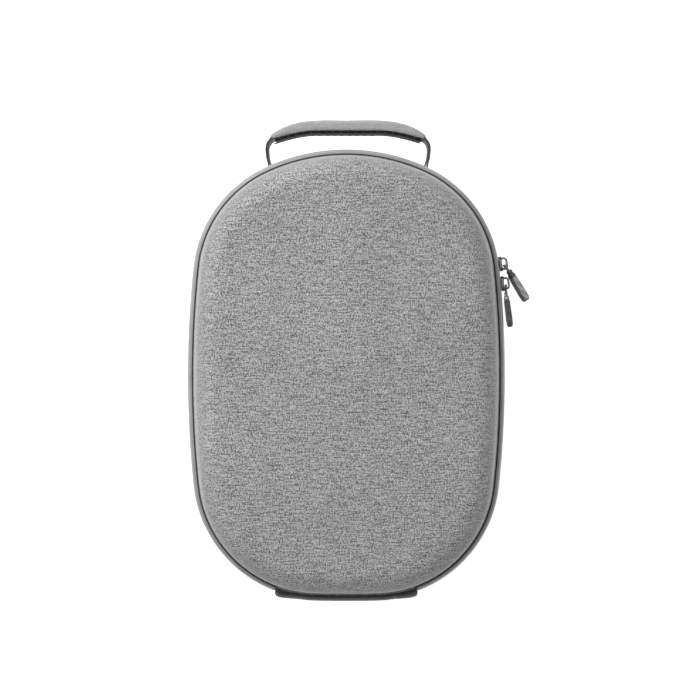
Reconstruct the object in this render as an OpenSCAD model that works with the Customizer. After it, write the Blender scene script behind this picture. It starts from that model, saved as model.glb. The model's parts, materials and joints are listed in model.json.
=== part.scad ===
// Headphone carrying case: two moulded shells joined by a coil zip, a fabric hinge strip and a carrying handle.
// The case lies on its back. +X is to the right, +Y points to the handle, +Z is out of the lid.
// The outline is a chain of tangent arcs that starts at the middle of the top and runs round the right side.

/* [Outline] */
// Radius of the arc across the top
top_r = 120.7; // [117:0.1:124]
// Angle that the top arc turns on each side of the middle
top_a = 24.8; // [23:0.1:26]
// Radius of each shoulder
shoulder_r = 77.3; // [74:0.1:80]
// Angle that each shoulder turns
shoulder_a = 59.3; // [58:0.1:60]
// Radius of each long side
side_r = 654; // [600:1:700]
// Angle that each long side turns
side_a = 11.9; // [11:0.1:12]
// Radius of each lower corner
corner_r = 78.4; // [76:0.1:80]
// Angle that the bottom arc turns on each side of the middle
bottom_a = 1.1; // [0.9:0.1:1.6]

/* [Shells] */
// Depth of the lid from the parting plane to its crown
lid_depth = 55; // [50:0.5:60]
// Depth of the base from the parting plane to its rest face
base_depth = 55; // [50:0.5:60]
// Distance of a shell's rim from the parting plane
rim_h = 9; // [9:0.1:10]
// How far a shell's rim stands inside the outline
rim_inset = 4.4; // [4.4:0.1:5]
// Lean of the side walls
wall_lean = 5.5; // [4:0.1:7]
// Radius between side wall and face
wall_r = 17; // [14:0.5:19]
// Rise of a face from its edge to its centre
crown = 2; // [1.5:0.1:2.5]
// Thickness of the fabric cover
cover_t = 1; // [0.8:0.1:1.2]
// Thickness of the moulded foam core
core_t = 3.9; // [3:0.1:4.5]
// Thickness of the lining
lining_t = 0.7; // [0.5:0.1:0.8]

/* [Zip] */
// Half the gap between the two zip tapes
tape_gap = 0.6; // [0.6:0.1:0.8]
// Thickness of a zip tape
tape_t = 0.8; // [0.7:0.1:0.9]
// Length of a slider's plates
slider_l = 9.2; // [8.6:0.1:9.6]
// Height of a slider's crown above its plate
slider_crown_h = 3.7; // [3.6:0.1:3.9]
// Length of a pull's wire link between its two bars
link_l = 5.4; // [5:0.1:6]
// Length of a pull's grip from the link's far bar
grip_l = 20.9; // [18:0.1:26]

/* [Hinge strip] */
// Angle on each side of the bottom that the strip covers
strip_a = 20.5; // [16:0.5:24]
// Thickness of the strip
strip_t = 1.1; // [0.8:0.1:1.2]

/* [Handle] */
// Height of the handle's top above the centre of the case
handle_top = 157.5; // [157:0.1:159]
// Height of the grip's underside above the centre of the case
handle_low = 148.8; // [148:0.1:149]
// Depth of the handle's middle below the parting plane
handle_depth = 18.5; // [18.5:0.1:20]
// Width of the grip
handle_w = 22; // [20:0.5:23]
// Width of the webbing
webbing_w = 18; // [15:0.5:18]
// Thickness of the doubled webbing
webbing_t = 2.2; // [1.8:0.1:2.3]

/* [Inside] */
// Height of the mesh pocket's mouth above the centre of the case
pocket_top = 20; // [0:1:40]
// Width of the retaining strap
strap_w = 22; // [18:1:28]

/* [Hidden] */
$fn = 32;
gap = 0.1;  // between layers that are glued or sewn together

// ---- outline: an angle t is the direction of the outward normal, from 0 at the top to 180 at the bottom;
// a negative angle is on the left side ----
corner_a = 180 - top_a - shoulder_a - side_a - bottom_a;
starts = [0, top_a, top_a + shoulder_a, top_a + shoulder_a + side_a, 180 - bottom_a];
side_radii = [top_r, shoulder_r, side_r, corner_r];
function upper_centre(i) = i == 0
  ? [0, 0]
  : upper_centre(i - 1) + (side_radii[i - 1] - side_radii[i]) * [sin(starts[i]), cos(starts[i])];
corner_centre = upper_centre(3);
bottom_r = corner_r + corner_centre.x / sin(bottom_a);
bottom_centre = corner_centre + (corner_r - bottom_r) * [sin(starts[4]), cos(starts[4])];
radii = concat(side_radii, [bottom_r]);
centres = concat([for (i = [0:3]) upper_centre(i)], [bottom_centre]);
middle_y = (top_r + bottom_centre.y - bottom_r) / 2;
half_height = top_r - middle_y;

function arc_at(t) = t >= starts[4] ? 4 : t >= starts[3] ? 3 : t >= starts[2] ? 2 : t >= starts[1] ? 1 : 0;

// the point of the outline at angle t, moved inwards by d
function edge(t, d) =
  let (a = abs(t), i = arc_at(a), r = radii[i] - d)
  [sign(t) * (centres[i].x + r * sin(a)), centres[i].y + r * cos(a) - middle_y];

// angles round the right half, closer together where the outline turns in a short distance
arc_turns = [top_a, shoulder_a, side_a, corner_a, bottom_a];
arc_steps = [5, 8, 5, 10, 2];
half_turn = [for (i = [0:4]) for (k = [0:arc_steps[i] - 1]) starts[i] + arc_turns[i] * k / arc_steps[i]];
full_turn = concat(half_turn, [180], [for (k = [len(half_turn) - 1:-1:1]) -half_turn[k]]);

// the angles between two limits, with the limits themselves
function turn_between(low, high) = concat(
  [low],
  [for (k = [len(half_turn) - 1:-1:1]) if (-half_turn[k] > low + 0.3 && -half_turn[k] < high - 0.3) -half_turn[k]],
  [for (t = half_turn) if (t > low + 0.3 && t < high - 0.3) t],
  [high]
);

// ---- solids from rings ----
function ring(d, z, s = 1) = [for (t = full_turn) let (p = edge(t, d)) [p.x * s, p.y * s, z]];

function strip_faces(j, n, wrap) = [
  for (k = [0:n - (wrap ? 1 : 2)])
    let (a = j * n + k, b = j * n + (k + 1) % n)
    each [[a, b, b + n], [a, b + n, a + n]]
];

// a section, as [inset, height] pairs, carried along the outline through the angles ts
module carried(section, ts) {
  n = len(section);
  m = len(ts);
  points = [for (t = ts) for (p = section) let (e = edge(t, p[0])) [e.x, e.y, p[1]]];
  faces = concat(
    [[for (k = [n - 1:-1:0]) k]],
    [for (j = [0:m - 2]) each strip_faces(j, n, true)],
    [[for (k = [0:n - 1]) (m - 1) * n + k]]
  );
  polyhedron(points, faces, convexity = 8);
}

// the same section carried all the way round
module carried_round(section) {
  n = len(section);
  m = len(full_turn);
  points = [for (t = full_turn) for (p = section) let (e = edge(t, p[0])) [e.x, e.y, p[1]]];
  faces = [
    for (j = [0:m - 1]) for (k = [0:n - 1])
      let (a = j * n + k, b = j * n + (k + 1) % n, c = ((j + 1) % m) * n + (k + 1) % n, e = ((j + 1) % m) * n + k)
      each [[a, b, c], [a, c, e]]
  ];
  polyhedron(points, faces, convexity = 8);
}

// ---- shells: heights are measured from the parting plane, and w is the depth below the cover's outside ----
function corner_inset() = rim_inset + wall_r * cos(wall_lean)
  + tan(wall_lean) * (lid_depth - crown - wall_r + wall_r * sin(wall_lean) - rim_h);
function wall_inset(h) = rim_inset + tan(wall_lean) * (h - rim_h);

corner_steps = 4;
crown_scales = [0.4, 0.72];

// [inset, height, scale] from the crown out to the rim; flat is the height that nothing passes
function shell_profile(depth, rise, w, flat) =
  let (face = depth - crown, r = wall_r - w, centre_h = face - wall_r, c = corner_inset(), end = 90 - wall_lean)
  concat(
    [for (s = crown_scales) [c, min(face + rise * (1 - s * s), flat) - w, s]],
    [for (k = [0:corner_steps]) let (f = end * k / corner_steps) [c - r * sin(f), centre_h + r * cos(f), 1]],
    [[c - r * cos(wall_lean) - tan(wall_lean) * (centre_h + r * sin(wall_lean) - rim_h), rim_h, 1]]
  );

// a closed skin between two depths below the cover's outside
module shell_layer(depth, rise, w_out, w_in, flat) {
  outside = shell_profile(depth, rise, w_out, flat);
  inside = shell_profile(depth, rise, w_in, flat);
  rings = concat(outside, [for (k = [len(inside) - 1:-1:0]) inside[k]]);
  n = len(full_turn);
  m = len(rings);
  top = min(depth - crown + rise, flat);
  points = concat([[0, 0, top - w_out]], [for (p = rings) each ring(p[0], p[1], p[2])], [[0, 0, top - w_in]]);
  last = len(points) - 1;
  faces = concat(
    [for (k = [0:n - 1]) [0, 1 + k, 1 + (k + 1) % n]],
    [
      for (j = [0:m - 2]) for (k = [0:n - 1])
        let (a = 1 + j * n + k, b = 1 + j * n + (k + 1) % n)
        each [[a, a + n, b + n], [a, b + n, b]]
    ],
    [for (k = [0:n - 1]) [1 + (m - 1) * n + k, last, 1 + (m - 1) * n + (k + 1) % n]]
  );
  polyhedron(points, faces, convexity = 8);
}

core_w = cover_t + gap;
lining_w = core_w + core_t + gap;
inside_w = lining_w + lining_t;

// lifts a child that is drawn above the parting plane onto the lid, or turns it over onto the base
module on_lid() {
  translate([0, 0, base_depth]) children();
}

module on_base() {
  translate([0, 0, base_depth]) mirror([0, 0, 1]) children();
}

// ---- zip and rim sections, as [inset, height above the parting plane] ----
zip_end = 180 - strip_a + 0.5;
zip_turn = turn_between(-zip_end, zip_end);
coil_end = zip_end - 2.6;
coil_turn = turn_between(-coil_end, coil_end);
tape_section = [
  [0.8 + tape_t, tape_gap], [0.1 + tape_t, 2.1], [0.1 + tape_t, 3.7], [0.6 + tape_t, 5.2], [1.6 + tape_t, 6.5],
  [3.3, 8.3 - tape_t], [5, 8.6 - tape_t], [5, 8.6], [3.2, 8.3], [1.7, 7.4], [0.6, 5.8], [0, 3.9], [0, 2],
  [0.8, tape_gap]
];
coil_section = [[3.4, 0.9], [3.4, 2.9], [2.9, 3.2], [1.8, 2.9], [1.8, 0.9], [2.9, 0.6]];
binding_section = [[9.6, 6.4], [10.3, 7.1], [10.3, 8.8], [5.2, 8.8], [5.2, 7.1], [5.9, 6.4]];
strip_in = [[0.3, 0.3], [-0.1, 2], [-0.1, 3.9], [0.5, 5.9], [1.6, 7.5], [3, 8.4], [3.9, 8.6]];
strip_turn = [0, 0, 5, 30, 50, 75, 85];  // lean of the strip's outside at each of those points
strip_section = concat(
  strip_in,
  [for (k = [len(strip_in) - 1:-1:0]) strip_in[k] + strip_t * [-cos(strip_turn[k]), sin(strip_turn[k])]]
);

module zip_tape() {
  carried(tape_section, zip_turn);
}

module zip_coil() {
  carried(coil_section, coil_turn);
}

module zip_stops() {
  for (side = [-1, 1]) {
    at_edge(side * (zip_end - 1.1), -2.9) translate([0, 0, 1.95]) cube([2.2, 2.1, 3.1], center = true);
  }
}

module hinge_strip() {
  for_bottom(strip_section, 180 - strip_a);
}

// a section carried across the bottom, from one side through the middle to the other
module for_bottom(section, span) {
  right = [for (t = half_turn) if (t > span + 0.3) t];
  ts = concat([span], right, [180], [for (k = [len(right) - 1:-1:0]) -right[k]], [-span]);
  carried(section, ts);
}

// moves to the outline: +X runs along it, clockwise from above, and +Y points outwards
module at_edge(t, out = 0) {
  p = edge(t, 0);
  translate([p.x, p.y, 0]) rotate([0, 0, -t]) translate([0, out, 0]) children();
}

// ---- base ----
module base_cover() {
  color([0.58, 0.58, 0.59]) difference() {
    on_base() shell_layer(base_depth, crown + 0.3, 0, cover_t, base_depth + 0.3);
    translate([0, 0, -5]) cube([300, 400, 10], center = true);
  }
}

module base_core() {
  color([0.2, 0.2, 0.2]) on_base() shell_layer(base_depth, crown, core_w + 0.3, core_w + core_t, base_depth);
}

module base_lining() {
  color([0.3, 0.3, 0.31]) on_base() shell_layer(base_depth, crown, lining_w, inside_w, base_depth);
}

module base_rim_binding() {
  color([0.2, 0.2, 0.21]) on_base() carried_round(binding_section);
}

module base_zip_tape() {
  color([0.66, 0.65, 0.65]) on_base() zip_tape();
}

module base_zip_coil() {
  color([0.3, 0.3, 0.3]) on_base() zip_coil();
}

module base_zip_stops() {
  color([0.6, 0.6, 0.62]) on_base() zip_stops();
}

module base_hinge_strip() {
  color([0.33, 0.33, 0.33]) on_base() hinge_strip();
}

// a sewn patch on the wall at the foot of a strap
anchor_low = 18.8;
anchor_high = 33;
anchor_t = 1.2;
module handle_anchor(side) {
  near = 9.7;
  far = 28.5;
  section = [
    [wall_inset(near) - gap, near], [wall_inset(far) - gap, far],
    [wall_inset(far) - gap - anchor_t, far], [wall_inset(near) - gap - anchor_t, near]
  ];
  low = side > 0 ? anchor_low : -anchor_high;
  high = side > 0 ? anchor_high : -anchor_low;
  on_base() carried(section, turn_between(low, high));
}

module handle_anchor_left() {
  color([0.3, 0.3, 0.31]) handle_anchor(-1);
}

module handle_anchor_right() {
  color([0.3, 0.3, 0.31]) handle_anchor(1);
}

// ---- retaining strap across the floor of the base ----
strap_reach = 56;
strap_overlap = 16;
strap_t = 1;
patch_t = 0.5;
floor_h = base_depth - crown - inside_w;
strap_low_h = base_depth - floor_h - 0.5;

module strap_slab(low_x, high_x, z, t) {
  translate([low_x, -strap_w / 2, z]) cube([high_x - low_x, strap_w, t]);
}

module retaining_strap_left() {
  color([0.15, 0.15, 0.15]) strap_slab(-strap_reach, strap_overlap, strap_low_h, strap_t);
}

module strap_loop_patch() {
  color([0.12, 0.12, 0.12])
    strap_slab(2 - strap_overlap, strap_overlap - 2, strap_low_h + strap_t + gap, patch_t);
}

module strap_hook_patch() {
  color([0.1, 0.1, 0.1])
    strap_slab(2 - strap_overlap, strap_overlap - 2, strap_low_h + strap_t + patch_t + 2 * gap, patch_t);
}

module retaining_strap_right() {
  upper_h = strap_low_h + strap_t + 2 * patch_t + 3 * gap;
  color([0.15, 0.15, 0.15]) union() {
    strap_slab(-strap_overlap, strap_reach, upper_h, strap_t);
    strap_slab(strap_reach - 8, strap_reach, strap_low_h, upper_h - strap_low_h + strap_t);
  }
}

// ---- lid ----
module lid_cover() {
  color([0.6, 0.6, 0.61]) on_lid() shell_layer(lid_depth, crown, 0, cover_t, lid_depth);
}

module lid_core() {
  color([0.2, 0.2, 0.2]) on_lid() shell_layer(lid_depth, crown, core_w, core_w + core_t, lid_depth);
}

module lid_lining() {
  color([0.3, 0.3, 0.31]) on_lid() shell_layer(lid_depth, crown, lining_w, inside_w, lid_depth);
}

module lid_rim_binding() {
  color([0.2, 0.2, 0.21]) on_lid() carried_round(binding_section);
}

module lid_zip_tape() {
  color([0.66, 0.65, 0.65]) on_lid() zip_tape();
}

module lid_zip_coil() {
  color([0.3, 0.3, 0.3]) on_lid() zip_coil();
}

module lid_zip_stops() {
  color([0.6, 0.6, 0.62]) on_lid() zip_stops();
}

module lid_hinge_strip() {
  color([0.33, 0.33, 0.33]) on_lid() hinge_strip();
}

// ---- mesh pocket, a sheet across the lid with a hemmed mouth ----
pocket_h = lid_depth - 14.6;
pocket_t = 0.6;
pocket_inset = corner_inset() - 9.5;
hem_w = 7;
hem_t = 1.4;

module inside_slab(low_y, high_y, h, t) {
  intersection() {
    translate([0, 0, h]) linear_extrude(t) polygon([for (t = full_turn) edge(t, pocket_inset)]);
    translate([-150, low_y, h - 1]) cube([300, high_y - low_y, t + 2]);
  }
}

module mesh_pocket() {
  color([0.1, 0.1, 0.1]) on_lid() inside_slab(-150, pocket_top, pocket_h, pocket_t);
}

module mesh_pocket_hem() {
  color([0.08, 0.08, 0.08])
    on_lid() inside_slab(pocket_top + gap, pocket_top + hem_w, pocket_h - (hem_t - pocket_t) / 2, hem_t);
}

// ---- handle: curves are heights above the centre of the case at a distance x from the middle ----
handle_z = base_depth - handle_depth;
underside_t = 2.2;
handle_end = 49.2;
top_flat = 10;
top_drop = 10;
low_flat = 20;
low_drop = 6.5;
low_power = 1.7;
function top_at(x) = handle_top - top_drop * pow(max(0, abs(x) - top_flat) / 39.4, 3);
function low_at(x) = handle_low - low_drop * pow(max(0, abs(x) - low_flat) / 28.7, low_power);
function low_lean(x) = atan(low_drop * low_power / 28.7 * pow(max(0, abs(x) - low_flat) / 28.7, low_power - 1));
function webbing_at(x) = low_at(x) + underside_t + gap + webbing_t / 2;
grip_stations = [for (k = [-9:9]) handle_end * k / 9];

// closed sections, as [z, y] pairs, joined along X; caps lists the convex pieces that a section's end is made of
module along_grip(sections, xs, caps) {
  n = len(sections[0]);
  m = len(xs);
  points = [for (j = [0:m - 1]) for (p = sections[j]) [xs[j], p[1], handle_z - p[0]]];
  faces = concat(
    [for (cap = caps) [for (k = [len(cap) - 1:-1:0]) cap[k]]],
    [for (j = [0:m - 2]) each strip_faces(j, n, true)],
    [for (cap = caps) [for (k = cap) (m - 1) * n + k]]
  );
  polyhedron(points, faces, convexity = 8);
}

// a rounded channel section open at the bottom: half-width w, from height b to t
function channel_side(w, b, t, r) = [
  [-w, b], [-w, t - r], [r * (1 - cos(45)) - w, t - r * (1 - sin(45))], [r - w, t],
  [w - r, t], [w - r * (1 - cos(45)), t - r * (1 - sin(45))], [w, t - r], [w, b]
];
cover_skin = 1.2;
function cover_section(x) =
  let (
    b = low_at(x) + underside_t + gap,
    t = top_at(x),
    r = min(4.4, (t - b) * 0.55),
    inner = channel_side(handle_w / 2 - cover_skin, b, t - cover_skin, r - cover_skin)
  )
  concat(channel_side(handle_w / 2, b, t, r), [for (k = [7:-1:0]) inner[k]]);

module handle_cover() {
  caps = [for (k = [0:6]) [k, k + 1, 14 - k, 15 - k]];
  color([0.6, 0.6, 0.6]) along_grip([for (x = grip_stations) cover_section(x)], grip_stations, caps);
}

// foam between the webbing and the cover
pad_end = 44;
module handle_pad() {
  xs = [for (k = [-9:9]) pad_end * k / 9];
  w = handle_w / 2 - 1.4;
  sections = [
    for (x = xs)
      let (b = webbing_at(x) + webbing_t / 2 + gap, t = top_at(x) - 1.4, r = min(2.6, t - b - 0.1))
      [[-w, b], [-w, t - r], [r - w, t], [w - r, t], [w, t - r], [w, b]]
  ];
  color([0.15, 0.15, 0.15]) along_grip(sections, xs, [[0, 1, 2, 3, 4, 5]]);
}

bend_x = 45;
module handle_underside() {
  xs = [for (k = [-9:9]) bend_x * k / 9];
  outline = concat(
    [for (x = xs) [x, low_at(x)]],
    [for (k = [len(xs) - 1:-1:0]) [xs[k], low_at(xs[k]) + underside_t]]
  );
  color([0.13, 0.13, 0.13])
    translate([0, 0, handle_z - handle_w / 2 + 0.4]) linear_extrude(handle_w - 0.8) polygon(outline);
}

// the webbing's middle line: through the grip, round its end and down to the wall
bend_r = 7.6;
bend_start = low_lean(bend_x);
bend_centre = [bend_x - bend_r * sin(bend_start), webbing_at(bend_x) - bend_r * cos(bend_start)];
fall_r = 32;
fall_a = 23.5;
webbing_half = concat(
  [for (x = [0, 9, 18, 24, 30, 36, 41]) [x, webbing_at(x), low_lean(x)]],
  [for (k = [0:6]) let (a = bend_start + (90 - bend_start) * k / 6) [
    bend_centre.x + bend_r * sin(a), bend_centre.y + bend_r * cos(a), a
  ]],
  [for (k = [1:4]) let (a = fall_a * k / 4) [
    bend_centre.x + bend_r + fall_r * (cos(a) - 1), bend_centre.y - fall_r * sin(a), 90 + a
  ]]
);
webbing_path = concat(
  [for (k = [len(webbing_half) - 1:-1:1]) [-webbing_half[k][0], webbing_half[k][1], -webbing_half[k][2]]],
  webbing_half
);

module handle_webbing() {
  h = webbing_t / 2;
  w = webbing_w / 2;
  m = len(webbing_path);
  points = [
    for (p = webbing_path)
      let (n = [sin(p[2]), cos(p[2])] * h)
      each [
        [p[0] - n.x, p[1] - n.y, handle_z - w], [p[0] + n.x, p[1] + n.y, handle_z - w],
        [p[0] + n.x, p[1] + n.y, handle_z + w], [p[0] - n.x, p[1] - n.y, handle_z + w]
      ]
  ];
  faces = concat(
    [[0, 1, 2, 3]],
    [for (j = [0:m - 2]) for (k = [0:3]) let (a = 4 * j + k, b = 4 * j + (k + 1) % 4) each [[a, a + 4, b], [b, a + 4, b + 4]]],
    [[4 * m - 1, 4 * m - 2, 4 * m - 3, 4 * m - 4]]
  );
  color([0.2, 0.2, 0.2]) polyhedron(points, faces, convexity = 6);
}

// ---- sliders and pulls ----
upper_y = 68.4;
lower_y = 56.2;
upper_t = acos((upper_y + middle_y - centres[1].y) / shoulder_r);
lower_t = 90 + asin((centres[2].y - middle_y - lower_y) / side_r);
plate_out = 0.4;
plate_t = 1.5;
inner_plate = 4.1;
inner_plate_t = 1;
slider_w = 8.4;
wire_r = 0.5;
link_half = 3.2;
bar_along = 1;
bar_out = plate_out + plate_t + 1.2;

module rounded_rect(l, w, r) {
  union() {
    square([l - 2 * r, w], center = true);
    square([l, w - 2 * r], center = true);
    for (x = [-1, 1]) for (y = [-1, 1]) translate([x * (l / 2 - r), y * (w / 2 - r)]) circle(r);
  }
}

// a plate in the XZ plane whose outer side is at y
module plate(l, w, r, y, t) {
  translate([0, y, 0]) rotate([90, 0, 0]) linear_extrude(t) rounded_rect(l, w, r);
}

// the body of a slider; its lid side has no flange, so the lid's coil can leave it
module slider_body() {
  top = plate_out + plate_t;
  union() {
    plate(slider_l, slider_w, 2.4, top, plate_t);
    plate(slider_l, slider_w - 0.6, 2.2, -inner_plate, inner_plate_t);
    translate([-2.5, -inner_plate - 0.2, -0.3]) cube([5, inner_plate + plate_out + 0.4, 0.6]);
    translate([-slider_l / 2 + 2.2, -inner_plate - 0.2, -slider_w / 2 + 0.3])
      cube([slider_l - 4.4, inner_plate - 2, 0.5]);
    translate([0, 0, -1.1]) linear_extrude(2.2) difference() {
      translate([0, top + slider_crown_h / 2 - 1]) rounded_rect(8, slider_crown_h + 2, 2.4);
      translate([0, top + slider_crown_h / 2 - 0.65]) rounded_rect(5.4, slider_crown_h - 1.3, 1.1);
      translate([-5, -8]) square([10, top + 8 - 0.3]);
    }
  }
}

module slider_at(t) {
  translate([0, 0, base_depth]) at_edge(t) slider_body();
}

// the middle of a link's near bar, which hangs in the slider's crown
function near_bar(t) = edge(t, -bar_out) + bar_along * [cos(t), -sin(t)];

module wire_rod(l) {
  cylinder(r = wire_r, h = l);
}

// a rectangle of round wire in the XZ plane, with its near bar on the Z axis
module wire_link() {
  r = 1.2;
  for (x = [0, link_l]) translate([x, 0, r - link_half]) wire_rod(2 * (link_half - r));
  for (z = [-link_half, link_half]) translate([r, 0, z]) rotate([0, 90, 0]) wire_rod(link_l - 2 * r);
  for (i = [0, 1]) for (k = [-1, 1])
    translate([i ? link_l - r : r, 0, k * (link_half - r)])
      rotate([90, i ? (k > 0 ? 0 : 90) : (k > 0 ? -90 : 180), 0])
        rotate_extrude(angle = 90) translate([r, 0]) circle(wire_r);
}

// a pull's link points along a, and is rolled about its own length
module link_frame(t, a, roll) {
  p = near_bar(t);
  translate([p.x, p.y, base_depth]) rotate([0, 0, a]) rotate([roll, 0, 0]) children();
}

// ---- grip: a slim bar that starts at the link's far bar, twisted a little at its neck ----
grip_shape = [
  [1.1, 0.9, 1.6], [2.6, 1.3, 1.9], [4, 1.6, 2.2], [6, 1.7, 2.3], [grip_l - 5, 1.85, 2.4],
  [grip_l - 1.6, 1.75, 2.3], [grip_l - 0.4, 1.4, 1.9], [grip_l, 0.9, 1.4]
];
neck_from = 1.6;
neck_to = 4.4;
function rounded(v) = sign(v) * pow(abs(v), 0.62);

module grip(twist) {
  sides = 20;
  points = [
    for (g = grip_shape) for (k = [0:sides - 1])
      let (
        a = -360 * k / sides,
        q = g[1] * rounded(cos(a)),
        v = g[2] * rounded(sin(a)),
        turned = twist * min(max((g[0] - neck_from) / (neck_to - neck_from), 0), 1)
      )
      [g[0], q * cos(turned) - v * sin(turned), q * sin(turned) + v * cos(turned)]
  ];
  m = len(grip_shape);
  faces = concat(
    [[for (k = [sides - 1:-1:0]) k]],
    [for (j = [0:m - 2]) each strip_faces(j, sides, true)],
    [[for (k = [0:sides - 1]) (m - 1) * sides + k]]
  );
  difference() {
    union() {
      polyhedron(points, faces, convexity = 4);
      cylinder(r = 1.6, h = 3.4, center = true);
    }
    cylinder(r = wire_r + 0.3, h = 20, center = true);
  }
}

upper_link_a = -50;
upper_link_roll = 12;
upper_grip_a = -59;
upper_twist = 30;
lower_link_a = -89;
lower_grip_a = -82.6;

module upper_slider() {
  color([0.35, 0.35, 0.36]) slider_at(upper_t);
}

module upper_link() {
  color([0.3, 0.3, 0.31]) link_frame(upper_t, upper_link_a, upper_link_roll) union() wire_link();
}

module upper_grip() {
  color([0.5, 0.5, 0.5])
    link_frame(upper_t, upper_link_a, upper_link_roll)
      translate([link_l, 0, 0]) rotate([0, 0, upper_grip_a - upper_link_a]) grip(upper_twist);
}

module lower_slider() {
  color([0.35, 0.35, 0.36]) slider_at(lower_t);
}

module lower_link() {
  color([0.3, 0.3, 0.31]) link_frame(lower_t, lower_link_a, 0) union() wire_link();
}

module lower_grip() {
  color([0.4, 0.4, 0.4])
    link_frame(lower_t, lower_link_a, 0)
      translate([link_l, 0, 0]) rotate([0, 0, lower_grip_a - lower_link_a]) grip(0);
}

base_cover();
base_core();
base_lining();
base_rim_binding();
base_zip_tape();
base_zip_coil();
base_zip_stops();
base_hinge_strip();
handle_anchor_left();
handle_anchor_right();
retaining_strap_left();
retaining_strap_right();
strap_loop_patch();
strap_hook_patch();
lid_cover();
lid_core();
lid_lining();
lid_rim_binding();
lid_zip_tape();
lid_zip_coil();
lid_zip_stops();
lid_hinge_strip();
mesh_pocket();
mesh_pocket_hem();
handle_cover();
handle_pad();
handle_underside();
handle_webbing();
upper_slider();
upper_link();
upper_grip();
lower_slider();
lower_link();
lower_grip();
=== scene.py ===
# %% [markdown]
# # A hard-shell headphone case
# The case lies on its back: its lid faces up, its handle points along +Y and its zip pulls are on the +X side.
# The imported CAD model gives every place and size. This lesson dresses it: woven covers, a satin zip, a real coil,
# a padded handle, a folded hinge strip and the fittings inside. Everything is in metres.

import json
from math import atan2, ceil, cos, degrees, hypot, pi, radians, sin, tan

import bpy
from mathutils import Matrix, Vector


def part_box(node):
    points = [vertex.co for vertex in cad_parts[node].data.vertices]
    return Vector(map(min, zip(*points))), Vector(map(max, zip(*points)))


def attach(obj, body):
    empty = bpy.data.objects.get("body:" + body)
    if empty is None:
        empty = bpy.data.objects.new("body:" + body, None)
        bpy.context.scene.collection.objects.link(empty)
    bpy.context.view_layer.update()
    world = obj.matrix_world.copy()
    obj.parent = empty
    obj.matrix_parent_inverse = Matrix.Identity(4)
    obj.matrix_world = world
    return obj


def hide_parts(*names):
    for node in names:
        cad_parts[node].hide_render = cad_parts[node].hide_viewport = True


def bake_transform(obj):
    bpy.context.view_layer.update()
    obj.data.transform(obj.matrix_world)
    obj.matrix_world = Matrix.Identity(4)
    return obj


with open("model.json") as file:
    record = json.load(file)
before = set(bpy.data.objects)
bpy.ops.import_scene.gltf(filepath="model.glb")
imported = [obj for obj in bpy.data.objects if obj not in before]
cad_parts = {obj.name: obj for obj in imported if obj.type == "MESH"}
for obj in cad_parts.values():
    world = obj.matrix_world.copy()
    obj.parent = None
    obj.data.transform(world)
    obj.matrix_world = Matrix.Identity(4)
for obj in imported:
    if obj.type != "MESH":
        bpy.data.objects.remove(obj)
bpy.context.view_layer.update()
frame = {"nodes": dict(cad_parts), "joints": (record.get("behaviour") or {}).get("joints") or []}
MM = 0.001

# %% [markdown]
# ## The outline
# Seen from the lid's side, the case is an egg made of arcs that run smoothly into each other: top, shoulder, long
# side, lower corner and bottom. It could be drawn as a spline, but arcs can be followed exactly by the Spin operator.
# A place on the outline is named by t, the direction in which it faces: 0 is the top, 90 the right side and 180 the
# bottom. A negative t is on the left side.

# %% The arcs of the outline
seam_z = (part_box("base_zip_tape")[1].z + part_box("lid_zip_tape")[0].z) / 2
top_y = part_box("lid_zip_tape")[1].y
arc_radii = [120.7 * MM, 77.3 * MM, 654 * MM, 78.4 * MM]
BOTTOM_TURN = 1.1
arc_starts = [0, 24.8, 84.1, 96.0, 180 - BOTTOM_TURN, 180]
arc_centres = [Vector((0, top_y - arc_radii[0], 0))]
for i in range(1, 4):
    a = radians(arc_starts[i])
    arc_centres.append(arc_centres[-1] + (arc_radii[i - 1] - arc_radii[i]) * Vector((sin(a), cos(a), 0)))
a = radians(arc_starts[4])
arc_radii.append(arc_radii[3] + arc_centres[3].x / sin(radians(BOTTOM_TURN)))
arc_centres.append(arc_centres[3] + (arc_radii[3] - arc_radii[4]) * Vector((sin(a), cos(a), 0)))


def arc_of(t):
    """The number of the arc that faces the direction t."""
    return max(i for i in range(5) if abs(t) >= arc_starts[i])


def outward(t):
    return Vector((sin(radians(t)), cos(radians(t)), 0))


def edge(t, inset=0.0, height=0.0):
    """The point of the outline that faces t, moved inwards by inset and up from the seam by height."""
    i = arc_of(t)
    r = arc_radii[i] - inset
    return Vector(((1 if t >= 0 else -1) * (arc_centres[i].x + r * sin(radians(abs(t)))),
                   arc_centres[i].y + r * cos(radians(t)), seam_z + height))


print("outline:", round(edge(90).x * 2000), "mm wide, from", round(edge(180).y * 1000), "to", round(top_y * 1000))

# %% [markdown]
# ## Drawing a profile and carrying it round the case
# Most of the case is one profile carried round the outline: the shells, the zip tapes, the bindings and the hinge
# strip. As by hand, a profile is drawn by extruding a single vertex from point to point, and Spin then turns it
# about the centre of each arc in turn. One half is made, Mirror makes the other, and the two share one seam of
# vertices. This keeps the rows of faces along the real seams, where bevels and stitches are wanted.

# %% Helpers for profiles
def all_off():
    bpy.ops.object.select_all(action="DESELECT")


def make_active(piece):
    all_off()
    piece.select_set(True)
    bpy.context.view_layer.objects.active = piece
    return piece


def draw_profile(name, points):
    """A line of edges through points, left in edit mode with all of it selected."""
    all_off()
    bpy.ops.mesh.primitive_plane_add(size=MM)
    piece = bpy.context.object
    piece.name = piece.data.name = name
    bpy.ops.object.mode_set(mode="EDIT")
    bpy.ops.mesh.merge(type="CENTER")
    bpy.ops.transform.translate(value=points[0])
    for here, there in zip(points, points[1:]):
        bpy.ops.mesh.extrude_vertices_move(TRANSFORM_OT_translate={"value": there - here})
    bpy.ops.mesh.select_all(action="SELECT")
    return piece


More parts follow.
